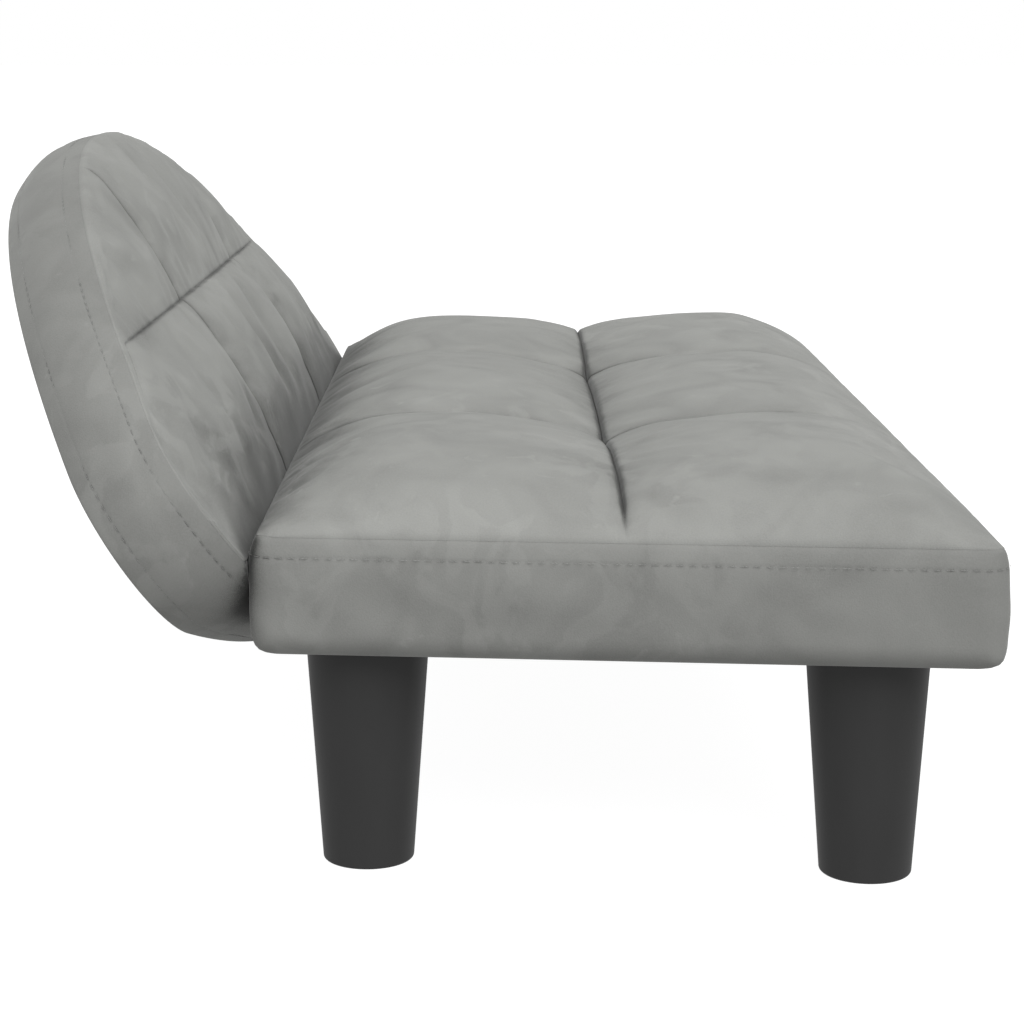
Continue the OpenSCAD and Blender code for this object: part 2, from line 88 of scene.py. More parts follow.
SKIN = 0.0015                # velvet drawn tight over a frame
CROSS_GROOVE = (0.0026, 0.0011)   # depth and half width of each sewn groove: on the seat
LONG_GROOVE = (0.0014, 0.0011)
UPRIGHT_GROOVE = (0.0010, 0.0010)  # and on the back
LEVEL_GROOVE = (0.0002, 0.0009)

SKY_LIGHT = 0.54             # soft light from all round above, and from the ground
GROUND_LIGHT = 0.50
LAMP_LIGHT = 2.32            # broad lamp above the camera's right shoulder
LAMP_SPREAD, LAMP_HEIGHT, LAMP_TURN = (math.radians(a) for a in (50, 52, 20))

CAMERA_LENS = 87.3
CAMERA_SHIFT = (0.0138, -0.2)
CAMERA_AT = (-1.3409, -0.0198, 0.3554)
CAMERA_DOWN = math.radians(6.19)
FLOOR_HALF = 30

TOPSTITCH = 0.0082           # from a seam to the line of stitches beside it
STITCH = {"pitch": 0.0052, "length": 0.0036, "radius": 0.00011}
STAPLE = {"pitch": 0.046, "length": 0.010, "radius": 0.0005}

# ---- Places, from the frame ----

boxing_low, boxing_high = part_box("seat_boxing")
band_low, band_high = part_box("back_band")
FRONT_Y = boxing_low.y
REAR_Y = boxing_high.y
SEAT_D = REAR_Y - FRONT_Y
UNDER_Z = boxing_low.z
SEAM_Z = boxing_high.z + VELVET
CROSS_X = SEAT_HALF / 3
BACK_HALF = band_high.x
BEVEL_Y = band_low.y         # the back is cut off against the seat here
TRIM_Z = band_low.z          # and underneath here
SEAM_AT_Y = band_high.y - BACK_T * math.cos(LEAN) - BACK_RISE * math.sin(LEAN)
SEAM_AT_Z = band_high.z - BACK_RISE * math.cos(LEAN)
END_X = BACK_HALF - END_R
LEGS = ("leg_front_left", "leg_front_right", "leg_rear_left", "leg_rear_right")


# ---- Small mathematics ----

def climb(distance, reach, roundness=2.2, fullness=0.6):
    """0 at a seam and 1 from reach onwards, steep at the seam like a stuffed edge."""
    u = np.clip(distance / reach, 0, 1)
    return (1 - (1 - u) ** roundness) ** fullness


def ripple(x, y, size, seed):
    """Smooth lumps of about the given size, from -1 to 1, the same on every run."""
    rng = np.random.default_rng(seed)
    waves = 10
    total = 0
    for angle, phase, share in rng.uniform((0, 0, 0.6), (2 * math.pi, 2 * math.pi, 1.6), (waves, 3)):
        k = 2 * math.pi / (size * share)
        total = total + np.sin(k * (x * math.cos(angle) + y * math.sin(angle)) + phase)
    return total / (1.6 * math.sqrt(waves))


def sewn(distance, depth, width):
    """The narrow groove that stitching pulls into a seam."""
    return -depth * np.exp(-(distance / width) ** 2)


def graded(low, high, step, seams, near):
    """Positions from low to high, about a step apart, with extra ones at near offsets from each seam."""
    even = np.linspace(low, high, round((high - low) / step) + 1)
    clear = [p for p in even if all(abs(p - s) > max(near) + step / 3 for s in seams)]
    close = [s + side * o for s in seams for o in (0, *near) for side in (-1, 1)]
    return np.unique(np.round(clear + [c for c in close if low <= c <= high], 7))


def resample(values, rows, cols):
    """A grid of vectors read at fractional rows and columns, with a smooth cubic."""
    for at in (rows, cols):
        last = values.shape[0] - 1
        i = np.clip(np.floor(at).astype(int), 0, last - 1)
        f = (at - i)[:, None, None]
        a, b, c, d = [values[np.clip(i + k, 0, last)] for k in (-1, 0, 1, 2)]
        read = b + f / 2 * (c - a + f * (2 * a - 5 * b + 4 * c - d + f * (3 * b - a - 3 * c + d)))
        values = read.transpose(1, 0, 2)
    return values


# ---- Meshes ----

def make_object(name, vertices, faces):
    mesh = bpy.data.meshes.new(name)
    mesh.from_pydata(np.asarray(vertices, float).reshape(-1, 3).tolist(), [], faces)
    mesh.update()
    made = bpy.data.objects.new(name, mesh)
    bpy.context.scene.collection.objects.link(made)
    reworked(made, lambda bm: bmesh.ops.recalc_face_normals(bm, faces=bm.faces))
    return made


def reworked(made, change):
    """Applies a change to an object's mesh through bmesh, and shades it smooth."""
    bm = bmesh.new()
    bm.from_mesh(made.data)
    change(bm)
    bm.to_mesh(made.data)
    bm.free()
    made.data.polygons.foreach_set("use_smooth", [True] * len(made.data.polygons))
    made.data.update()


def grid_faces(rows, cols, wrap_rows=False, wrap_cols=False):
    steps = [(j, i) for j in range(rows - (not wrap_rows)) for i in range(cols - (not wrap_cols))]
    return [(j * cols + i, j * cols + (i + 1) % cols,
             (j + 1) % rows * cols + (i + 1) % cols, (j + 1) % rows * cols + i) for j, i in steps]


def padded_shell(name, top, shift):
    """A closed pad: the given grid, and the same grid moved by shift, joined round the rim."""
    rows, cols = top.shape[:2]
    n = rows * cols
    index = np.arange(n).reshape(rows, cols)
    rim = np.concatenate([index[0], index[1:, -1], index[-1, -2::-1], index[-2:0:-1, 0]])
    upper = grid_faces(rows, cols)
    lower = [tuple(n + k for k in reversed(f)) for f in upper]
    sides = [(int(b), int(a), int(a) + n, int(b) + n) for a, b in zip(rim, np.roll(rim, -1))]
    return make_object(name, np.concatenate([top, top + shift]), upper + lower + sides)


def painted_seam_shade(made, near, rim, fade, line=0.0022, spread=0.012):
    """Paints shade along each seam of a quilted pad, as a point attribute the velvet reads: a dark line
    in the seam, softer darkening beside it.
    """
    share = 0.6 * np.exp(-(near / line) ** 2) + 0.4 * np.exp(-near / spread)
    share = share * np.clip(rim / fade, 0, 1)
    marks = made.data.attributes.new("seam", "FLOAT", "POINT").data
    marks.foreach_set("value", np.tile(share.ravel(), 2))


def cut_away(made, point, normal):
    """Removes what lies on the normal's side of a plane, and closes the cut."""
    def change(bm):
        everything = bm.verts[:] + bm.edges[:] + bm.faces[:]
        bmesh.ops.bisect_plane(bm, geom=everything, dist=1e-6, plane_co=point, plane_no=normal,
                               clear_outer=True)
        filled = bmesh.ops.holes_fill(bm, edges=[e for e in bm.edges if e.is_boundary])["faces"]
        bmesh.ops.triangulate(bm, faces=filled)
        bmesh.ops.recalc_face_normals(bm, faces=bm.faces)
    reworked(made, change)


def bars_along(points, normals, pitch, length, radius, closed=True):
    """Vertices and faces of short rounded bars along a line, each a little sunk at its ends."""
    if closed:
        points, normals = np.vstack([points, points[:1]]), np.vstack([normals, normals[:1]])
    run = np.concatenate([[0], np.cumsum(np.linalg.norm(np.diff(points, axis=0), axis=1))])
    count = max(1, int(run[-1] / pitch))
    at = (np.arange(count) + 0.5) * run[-1] / count

    def read(values, where):
        return np.stack([np.interp(where, run, values[:, k]) for k in range(3)], 1)

    centre, up = read(points, at), read(normals, at)
    ahead = read(points, at + pitch / 8) - read(points, at - pitch / 8)
    ahead /= np.linalg.norm(ahead, axis=1, keepdims=True)
    side = np.cross(ahead, up)
    sections, corners = 5, 6
    turn = np.linspace(0, 2 * math.pi, corners, endpoint=False)[None, :, None]
    rings = []
    for share in np.linspace(-1, 1, sections):
        middle = centre + ahead * share * length / 2 - up * radius * share ** 2
        thick = radius * math.sqrt(1 - 0.85 * share ** 2)
        across = np.cos(turn) * side[:, None] + np.sin(turn) * up[:, None]
        rings.append(middle[:, None] + thick * across)
    size = sections * corners
    bar = grid_faces(sections, corners, wrap_cols=True)
    bar += [tuple(range(corners)), tuple(range(size - 1, size - corners - 1, -1))]
    faces = [tuple(k * size + v for v in f) for k in range(count) for f in bar]
    return np.stack(rings, 1).reshape(-1, 3), faces


# ---- Cloth ----

def inflate(points, pinned, pressure, slack, cap, frames=18):
    """Blows a sewn panel up from its drawn shape, seams held. Returns how far each point moves."""
    panel = make_object("panel_in_the_press", points, grid_faces(*points.shape[:2]))
    group = panel.vertex_groups.new(name="seams")
    group.add(np.flatnonzero(pinned).tolist(), 1.0, "REPLACE")
    settings = panel.modifiers.new("cloth", "CLOTH").settings
    settings.vertex_group_mass = group.name
    settings.quality = 6
    settings.tension_stiffness = settings.compression_stiffness = 20
    settings.shear_stiffness = 8
    settings.bending_stiffness = 1.5
    settings.use_pressure = True
    settings.uniform_pressure_force = pressure
    settings.shrink_min = -slack
    settings.effector_weights.gravity = 0
    scene = bpy.context.scene
    for number in range(1, frames + 1):
        scene.frame_set(number)
    shaped = panel.evaluated_get(bpy.context.evaluated_depsgraph_get()).to_mesh()
    found = np.zeros(points.size)
    shaped.vertices.foreach_get("co", found)
    scene.frame_set(1)
    bpy.data.objects.remove(panel)
    moved = found.reshape(points.shape) - points
    return moved * min(1, cap / np.linalg.norm(moved, axis=2).max())


# ---- Materials ----

def add(tree, kind, inputs=(), **settings):
    """Adds a shader node. Inputs map a socket's name or number to a value or to another socket."""
    made = tree.nodes.new(kind)
    for key, value in settings.items():
        setattr(made, key, value)
    for key, value in dict(inputs).items():
        if isinstance(value, bpy.types.NodeSocket):
            tree.links.new(value, made.inputs[key])
        else:
            made.inputs[key].default_value = value
    return made


def noise(tree, where, scale, detail=2.0, distortion=0.0):
    return add(tree, "ShaderNodeTexNoise", {"Vector": where, "Scale": scale, "Detail": detail,
                                            "Distortion": distortion}).outputs["Fac"]


def stretched(tree, where, scale, turn=(0, 0, 0)):
    return add(tree, "ShaderNodeMapping", {"Vector": where, "Scale": scale, "Rotation": turn}).outputs[0]


def mixed(tree, *parts):
    """Sum of sockets, each times its weight."""
    total = None
    for socket, weight in parts:
        term = add(tree, "ShaderNodeMath", {0: socket, 1: weight, 2: total or 0.0},
                   operation="MULTIPLY_ADD")
        total = term.outputs[0]
    return total


def between(tree, value, low, high, out_low, out_high):
    return add(tree, "ShaderNodeMapRange", {0: value, 1: low, 2: high, 3: out_low, 4: out_high},
               interpolation_type="SMOOTHSTEP").outputs[0]


def ramp(tree, value, places, colours):
    """Colour ramp with a colour at each place from 0 to 1."""
    made = add(tree, "ShaderNodeValToRGB", {0: value})
    elements = made.color_ramp.elements
    while len(elements) < len(places):
        elements.new(1)
    for element, place, colour in zip(elements, places, colours):
        element.position = place
        element.color = (*colour, 1)
    return made.outputs[0]


def tones(colour, *shares):
    return [tuple(min(1, c * s) for c in colour) for s in shares]


def bumped(tree, height, strength, distance, below=None):
    inputs = {"Height": height, "Strength": strength, "Distance": distance}
    if below is not None:
        inputs["Normal"] = below
    return add(tree, "ShaderNodeBump", inputs).outputs[0]


def new_material(name, build, **surface):
    """Principled material: build(tree, where) gives the linked inputs, surface the constants."""
    made = bpy.data.materials.new(name)
    made.use_nodes = True
    tree = made.node_tree
    shader = tree.nodes["Principled BSDF"]
    where = add(tree, "ShaderNodeTexCoord").outputs["Object"]
    for key, value in build(tree, where).items():
        tree.links.new(value, shader.inputs[key])
    for key, value in surface.items():
        shader.inputs[key.replace("_", " ").title().replace("Ior", "IOR")].default_value = value
    return made


def velvet(name, colour):
    """Short brushed pile: patchy pile, edged strokes, smears and grain, with painted shade darker in
    creases from ambient occlusion, and along the seams.
    """
    def build(tree, where):
        patches = noise(tree, where, 24, 2, 0.8)
        swept = noise(tree, stretched(tree, where, (26, 38, 32), (0.3, 0.2, 0.5)), 1, 4, 1.2)
        strokes = between(tree, swept, 0.49, 0.58, 0, 1)
        shown = between(tree, noise(tree, where, 8, 1), 0.40, 0.62, 0, 1)
        rubbed = noise(tree, stretched(tree, where, (75, 60, 48), (0.2, 0.6, 0.1)), 1, 4, 1.8)
        smears = between(tree, rubbed, 0.64, 0.80, 0, 1)
        grain = noise(tree, where, 1500, 2)
        marks = add(tree, "ShaderNodeMath", {0: strokes, 1: shown}, operation="MULTIPLY").outputs[0]
        # Painted shade: the base colour darkens where ambient occlusion finds the surface enclosed, in
        # creases and where the back meets the seat.
        open_air = add(tree, "ShaderNodeAmbientOcclusion", {"Distance": 0.09}, samples=6).outputs["AO"]
        painted_crease_shade = between(tree, open_air, 0.30, 0.96, -0.75, 0)
        # Painted shade along the seams, read from the mesh's seam attribute.
        seam = add(tree, "ShaderNodeAttribute", attribute_name="seam").outputs["Fac"]
        tone_with_painted_shade = mixed(tree, (patches, 0.66), (marks, 0.14), (smears, 0.26), (grain, 0.30), (painted_crease_shade, 1.0),
                    (seam, -0.28))
        pile = bumped(tree, grain, 0.25, 0.0004, bumped(tree, noise(tree, where, 55, 3), 0.12, 0.002))
        shades = tones(colour, 0.22, 0.84, 1.0, 1.16)
        return {"Base Color": ramp(tree, tone_with_painted_shade, (0.0, 0.30, 0.50, 0.80), shades),
                "Roughness": between(tree, patches, 0.3, 0.7, 0.85, 0.95), "Normal": pile}
    return new_material(name, build, sheen_weight=0.25, sheen_roughness=0.35,
                        sheen_tint=(0.95, 0.96, 0.94, 1), specular_ior_level=0.1)


def thread(name, colour):
    """Sewing thread with a slight twist."""
    def build(tree, where):
        turned = stretched(tree, where, (1, 1, 1), (0.5, 0.7, 0.6))
        twist = add(tree, "ShaderNodeTexWave",
                    {"Vector": turned, "Scale": 900, "Distortion": 1.0}).outputs["Fac"]
        return {"Base Color": ramp(tree, twist, (0.2, 0.8), tones(colour, 0.75, 1.1)),
                "Normal": bumped(tree, twist, 0.5, 0.0002)}
    return new_material(name, build, roughness=0.6, sheen_weight=0.2)


def nonwoven(name, colour):
    """Spun-bonded lining: fine fibres and a grid of tiny pressed dots."""
    def build(tree, where):
        fibres = noise(tree, stretched(tree, where, (300, 900, 900), (0, 0, 0.7)), 1, 4, 1.0)
        dots = add(tree, "ShaderNodeTexVoronoi", {"Vector": where, "Scale": 700, "Randomness": 0.3})
        height = mixed(tree, (fibres, 1.0), (dots.outputs["Distance"], 1.0))
        return {"Base Color": ramp(tree, height, (0.4, 1.0), tones(colour, 0.7, 1.5)),
                "Roughness": between(tree, fibres, 0.3, 0.7, 0.75, 0.95),
                "Normal": bumped(tree, height, 0.4, 0.0003)}
    return new_material(name, build, specular_ior_level=0.2)


def moulded(name, colour):
    """Satin moulded plastic: very fine texture, a few faint rubs, smooth gloss."""
    def build(tree, where):
        rubs = noise(tree, stretched(tree, where, (40, 40, 9)), 1, 4, 0.4)
        return {"Base Color": ramp(tree, rubs, (0.3, 0.75), tones(colour, 0.9, 1.15)),
                "Roughness": between(tree, rubs, 0.3, 0.75, 0.40, 0.52),
                "Normal": bumped(tree, noise(tree, where, 900, 3), 0.12, 0.0002)}
    return new_material(name, build, specular_ior_level=0.45)


def timber(name, colour, grain_axis=(3, 60, 60), plies=0.0):
    """Sawn timber or plywood: long grain, darker streaks, and plies through the thickness."""
    def build(tree, where):
        rings = noise(tree, stretched(tree, where, grain_axis), 1.2, 6, 1.5)
        pores = noise(tree, stretched(tree, where, tuple(6 * g for g in grain_axis)), 1, 2)
        layers = add(tree, "ShaderNodeTexWave", {"Vector": where, "Scale": 160, "Distortion": 0.4},
                     bands_direction="Z").outputs["Fac"]
        value = mixed(tree, (rings, 0.75 - plies / 2), (pores, 0.25 - plies / 2), (layers, plies))
        return {"Base Color": ramp(tree, value, (0.32, 0.5, 0.68), tones(colour, 0.6, 1.0, 1.15)),
                "Roughness": between(tree, pores, 0.3, 0.7, 0.6, 0.8),
                "Normal": bumped(tree, value, 0.3, 0.0005)}
    return new_material(name, build)


def zinc(name):
    """Zinc-plated steel with a faint spangle."""
    def build(tree, where):
        spangle = add(tree, "ShaderNodeTexVoronoi", {"Vector": where, "Scale": 260}).outputs["Distance"]
        value = mixed(tree, (spangle, 1.0), (noise(tree, where, 500, 3), 0.4))
        return {"Base Color": ramp(tree, value, (0.2, 0.9), tones((0.62, 0.63, 0.65), 0.7, 1.05)),
                "Roughness": between(tree, value, 0.2, 0.9, 0.28, 0.48),
                "Normal": bumped(tree, value, 0.15, 0.0003)}
    return new_material(name, build, metallic=1.0)


VELVET_GREY = (0.288, 0.291, 0.278)
velvet_grey = velvet("velvet_grey", VELVET_GREY)
# Painted shade: the same velvet 14% darker, used on the side bands and the rear panel.
velvet_shaded_side = velvet("velvet_grey_shaded_side", tones(VELVET_GREY, 0.86)[0])
thread_grey = thread("thread_grey", tones(VELVET_GREY, 1.02)[0])
lining_grey = nonwoven("lining_grey", (0.10, 0.10, 0.098))
dust_black = nonwoven("dust_cover_black", (0.018, 0.018, 0.018))
leg_dark = moulded("leg_dark_plastic", (0.028, 0.028, 0.028))
rail_wood = timber("rail_wood", (0.60, 0.42, 0.24))
post_wood = timber("post_wood", (0.58, 0.41, 0.24), (60, 60, 3))
ply_wood = timber("ply_wood", (0.62, 0.46, 0.29), (3, 50, 50), plies=0.2)
steel_zinc = zinc("steel_zinc")


def piece(made, material, slot, *replaced):
    """Rides a new piece on the part's one body, with its material, and hides the parts it replaces; the
    slot argument is not used.
    """
    made.data.materials.append(material)
    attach(made, "root")
    if replaced:
        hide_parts(*replaced)
    return made


# ---- Seat ----

def seat_half(d):
    """Half the seat's length at a depth d behind its front face, with the upright corners rounded."""
    w = np.clip(CORNER_R - np.minimum(d, SEAT_D - d), 0, CORNER_R)
    return SEAT_HALF - d * math.tan(END_ANGLE) - CORNER_R + np.sqrt(CORNER_R ** 2 - w ** 2)


def seat_x(a, d):
    """a counts half tufts from the middle: 1 at a cross seam and 3 at the end of the seat."""
    outside = CROSS_X + (np.abs(a) - 1) / 2 * (seat_half(d) - SEAM_IN - CROSS_X)
    return np.sign(a) * np.where(np.abs(a) <= 1, np.abs(a) * CROSS_X, outside)


def seat_surface(a, d):
    """Drawn shape of the quilted top, and the distances to its cross seams, long seam and rim."""
    aa, dd = np.meshgrid(a, d)
    x = seat_x(aa, dd)
    cross = np.abs(np.abs(x) - CROSS_X)
    long = np.abs(dd - SEAT_D / 2)
    edge = np.minimum(dd, SEAT_D - dd) - SEAM_IN
    end = seat_half(dd) - SEAM_IN - np.abs(x)
    tuft = climb(cross, CROSS_X * 0.9, 2, 0.9)
    kept = LONG_SHARE + np.where(np.abs(x) < CROSS_X, *LONG_RISE) * tuft
    across = kept + (1 - kept) * climb(long, SEAT_D / 2 - SEAT_RISE)
    lengthways = CROSS_SHARE + (1 - CROSS_SHARE) * tuft
    z = SEAM_Z + SEAT_HIGH * climb(edge, SEAT_RISE, 2.2, 0.8) * climb(end, END_RISE) * across * lengthways
    return np.stack([x, FRONT_Y + dd, z], axis=2), cross, long, np.minimum(edge, end)


def dimpled(distance, run, wander):
    """Tiny puckers that the stitches pull beside a seam."""
    return 0.0001 * np.exp(-distance / 0.007) * np.sin(run / 0.0017 + wander)


NEAR_SEAM = (0.0005, 0.0011, 0.0020, 0.0033)
NEAR_STITCH = (0.0004, 0.0009, 0.0016)


def make_seat_quilt():
    coarse, fine = 0.0055, 0.0026
    a_coarse = np.linspace(-3, 3, 6 * round(CROSS_X / coarse) + 1)
    d_coarse = np.linspace(SEAM_IN, SEAT_D - SEAM_IN, 2 * round(SEAT_D / coarse / 2) + 1)
    drawn, cross, long, rim = seat_surface(a_coarse, d_coarse)
    sewn_down = np.minimum(np.minimum(cross, long), rim) < 1e-5
    blown = inflate(drawn, sewn_down, pressure=2.0, slack=0.012, cap=0.0030)
    a = graded(-3, 3, fine / CROSS_X, (-3, -1, 1, 3), [n / CROSS_X for n in NEAR_SEAM])
    d = graded(SEAM_IN, SEAT_D - SEAM_IN, fine, (SEAM_IN, SEAT_D / 2, SEAT_D - SEAM_IN), NEAR_SEAM)
    top, cross, long, rim = seat_surface(a, d)
    share = (d - SEAM_IN) / (SEAT_D - 2 * SEAM_IN)
    top += resample(blown, share * (len(d_coarse) - 1), (a + 3) / 6 * (len(a_coarse) - 1))
    x, y = top[..., 0], top[..., 1]
    wander = 2 * ripple(x, y, 0.05, 3)
    relief = (sewn(cross, *CROSS_GROOVE) + sewn(long, *LONG_GROOVE) + dimpled(cross, y, wander)
              + dimpled(long, x, wander) + 0.0006 * ripple(x, y, 0.07, 5))
    top[..., 2] += np.clip(rim / SEAM_FADE, 0, 1) * relief
    made = padded_shell("seat_quilt_velvet", top, np.array([0, 0, -VELVET]))
    # Painted shade along the seat's seams.
    painted_seam_shade(made, np.minimum(cross, long), rim, SEAM_FADE)
    piece(made, velvet_grey, "velvet", "seat_quilt", "seat_foam")


def seat_loop(inset, step=0.004):
    """The seat's outline drawn in by inset, anticlockwise, with its outward normals, in plan."""
    r = max(CORNER_R - 2.4 * inset, 0.005)
    reach = inset + r
    front, rear = [(SEAT_HALF - d * math.tan(END_ANGLE) - reach / math.cos(END_ANGLE), FRONT_Y + d)
                   for d in (reach, SEAT_D - reach)]
    quarter = math.pi / 2
    corners = [((-front[0], front[1]), 2 * quarter - END_ANGLE, 3 * quarter),
               (front, 3 * quarter, 4 * quarter + END_ANGLE), (rear, END_ANGLE, quarter),
               ((-rear[0], rear[1]), quarter, 2 * quarter - END_ANGLE)]
    points, normals = [], []
    for k, (centre, start, stop) in enumerate(corners):
        count = round((SEAT_D if k % 2 else 2 * SEAT_HALF) / step)
        turn = np.linspace(start, stop, 9)
        normal = np.stack([np.cos(turn), np.sin(turn)], 1)
        arc = np.array(centre) + r * normal
        target = np.array(corners[(k + 1) % 4][0]) + r * normal[-1]
        points += [arc, arc[-1] + np.linspace(0, 1, count + 1)[1:-1, None] * (target - arc[-1])]
        normals += [normal, np.repeat(normal[-1:], count - 1, axis=0)]
    return np.concatenate(points), np.concatenate(normals)


def boxing_profile():
    """(inset, height) of the side band's outer face, from its edge under the frame to the top seam."""
    sag = 0.0011
    under = [(i, UNDER_Z - sag * climb(TURN * 0.75 - i, TURN * 0.75 - EDGE_ROUND, 2, 1))
             for i in np.linspace(TURN, EDGE_ROUND, 9)[:-1]]
    lower = [(EDGE_ROUND * (1 - math.sin(t)), UNDER_Z - sag + (EDGE_ROUND + sag) * (1 - math.cos(t)))
             for t in np.linspace(0, math.pi / 2, 8)]
    stitched, start = SEAM_Z - TOPSTITCH, UNDER_Z + EDGE_ROUND
    side = []
    for z in graded(start, SEAM_Z, 0.003, (stitched, SEAM_Z), NEAR_STITCH)[1:]:
        bulge = 0.0004 * math.sin(math.pi * (z - start) / (SEAM_Z - start))
        drawn = SEAM_IN * math.exp((z - SEAM_Z) / 0.005) + 0.0005 * math.exp((z - SEAM_Z) / 0.0008)
        side.append((drawn - bulge - sewn(z - stitched, 0.0001, 0.0008), z))
    return under + lower + side


def make_seat_boxing():
    outer = boxing_profile()
    rings = []
    for inset, z in outer + [(i + SKIN, z) for i, z in reversed(outer)]:
        base, normals = seat_loop(max(inset, 0))
        up = np.clip((z - UNDER_Z) / (SEAM_Z - UNDER_Z), 0, 1)
        swell = 0.0007 * math.sin(math.pi * up) * ripple(base[:, 0] + base[:, 1], 2 * z, 0.06, 9)
        lift = 0.0005 * math.sin(math.pi * up) * ripple(base[:, 0], base[:, 1], 0.09, 8)
        plan = base + normals * (swell - min(inset, 0))[:, None]
        rings.append(np.column_stack([plan, z + lift]))
    points = np.stack(rings)
    made = make_object("seat_boxing_velvet", points, grid_faces(*points.shape[:2], True, True))
    piece(made, velvet_shaded_side, "velvet", "seat_boxing")
    line, normals = seat_loop(0)
    level = np.zeros((len(line), 1))
    bars = bars_along(np.hstack([line + normals * 0.0002, level + SEAM_Z - TOPSTITCH]),
                      np.hstack([normals, level]), **STITCH)
    piece(make_object("seat_topstitch", *bars), thread_grey, "velvet")
    line, _ = seat_loop(TURN * 0.6)
    bars = bars_along(np.hstack([line, level + UNDER_Z - STAPLE["radius"] * 0.4]),
                      np.hstack([line * 0, level - 1]), **STAPLE)
    piece(make_object("seat_staples", *bars), steel_zinc, "steel")


def make_dust_cover():
    inset, skin = TURN + 0.0003, 0.0008
    aa, dd = np.meshgrid(np.linspace(-1, 1, 130), np.linspace(inset, SEAT_D - inset, 60))
    half = SEAT_HALF - dd * math.tan(END_ANGLE) - inset / math.cos(END_ANGLE)
    x, y = aa * half, FRONT_Y + dd
    held = climb(np.minimum(np.minimum(dd - inset, SEAT_D - inset - dd), half - np.abs(x)), 0.08, 2, 1)
    for leg in LEGS:
        low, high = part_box(leg)
        away = np.hypot(x - (low.x + high.x) / 2, y - (low.y + high.y) / 2) - (high.x - low.x) / 2
        held = held * climb(away, 0.05, 2, 1)
    z = UNDER_Z + skin - held * (0.0016 + 0.0006 * ripple(x, y, 0.09, 12))
    made = padded_shell("dust_cover_sheet", np.stack([x, y, z], 2), np.array([0, 0, -skin]))
    piece(made, dust_black, "dust_cover", "seat_dust_cover")


# ---- Back ----

def leaned(x, y, t):
    """World points from the back's own frame: y through its thickness and t up its slope."""
    return np.stack(np.broadcast_arrays(x, SEAM_AT_Y + y * math.cos(LEAN) + t * math.sin(LEAN),
                                        SEAM_AT_Z - y * math.sin(LEAN) + t * math.cos(LEAN)), -1)


def arch_radius(height):
    """Radius of an arch that closes on both end circles, its crown at a height over their centres."""
    return (END_X ** 2 + height ** 2 - END_R ** 2) / (2 * (height - END_R))


TOP_R = arch_radius(BACK_RISE + END_DROP)
LOW_R = arch_radius(BACK_DROP - END_DROP)
TOP_C = BACK_RISE - TOP_R
LOW_C = LOW_R - BACK_DROP
TOP_ANGLE = math.atan2(-END_DROP - TOP_C, END_X)
LOW_ANGLE = math.atan2(-END_DROP - LOW_C, END_X)


def back_edge(x, side):
    """Height of the outline's upper (side 1) or lower (side -1) edge at x."""
    x = np.minimum(np.abs(x), BACK_HALF)
    centre, radius, angle = (TOP_C, TOP_R, TOP_ANGLE) if side > 0 else (LOW_C, LOW_R, LOW_ANGLE)
    arch = centre + side * np.sqrt(radius ** 2 - x ** 2)
    end = -END_DROP + side * np.sqrt(np.maximum(END_R ** 2 - (x - END_X) ** 2, 0))
    return np.where(x < radius * math.cos(angle), arch, end)


def back_inside(x, t):
    """Distance from a point in the plane of the back in to its outline."""
    x = np.abs(x)
    arches = np.minimum(TOP_R - np.hypot(x, t - TOP_C), LOW_R - np.hypot(x, t - LOW_C))
    turn = np.arctan2(t + END_DROP, x - END_X)
    at_end = (turn > LOW_ANGLE) & (turn < TOP_ANGLE) & (x > END_X)
    return np.maximum(np.where(at_end, END_R - np.hypot(x - END_X, t + END_DROP), arches), 0)


def back_loop(step=0.004):
    """The back's outline, anticlockwise, with its outward normals, in the plane of the back."""
    arcs = [(0, LOW_C, LOW_R, -math.pi - LOW_ANGLE, LOW_ANGLE),
            (END_X, -END_DROP, END_R, LOW_ANGLE, TOP_ANGLE),
            (0, TOP_C, TOP_R, TOP_ANGLE, math.pi - TOP_ANGLE),
            (-END_X, -END_DROP, END_R, math.pi - TOP_ANGLE, math.pi - LOW_ANGLE)]
    points, normals = [], []
    for x, t, radius, start, stop in arcs:
        turn = np.linspace(start, stop, round(radius * (stop - start) / step) + 1)[:-1]
        normal = np.stack([np.cos(turn), np.sin(turn)], 1)
        points.append(np.array((x, t)) + radius * normal)
        normals.append(normal)
    return np.concatenate(points), np.concatenate(normals)


def back_x(a):
    """Columns as on the seat, closer together towards the rounded ends."""
    outside = CROSS_X + (BACK_HALF * 0.9996 - CROSS_X) * np.sin(math.pi / 4 * (np.abs(a) - 1))
    return np.sign(a) * np.where(np.abs(a) <= 1, np.abs(a) * CROSS_X, outside)


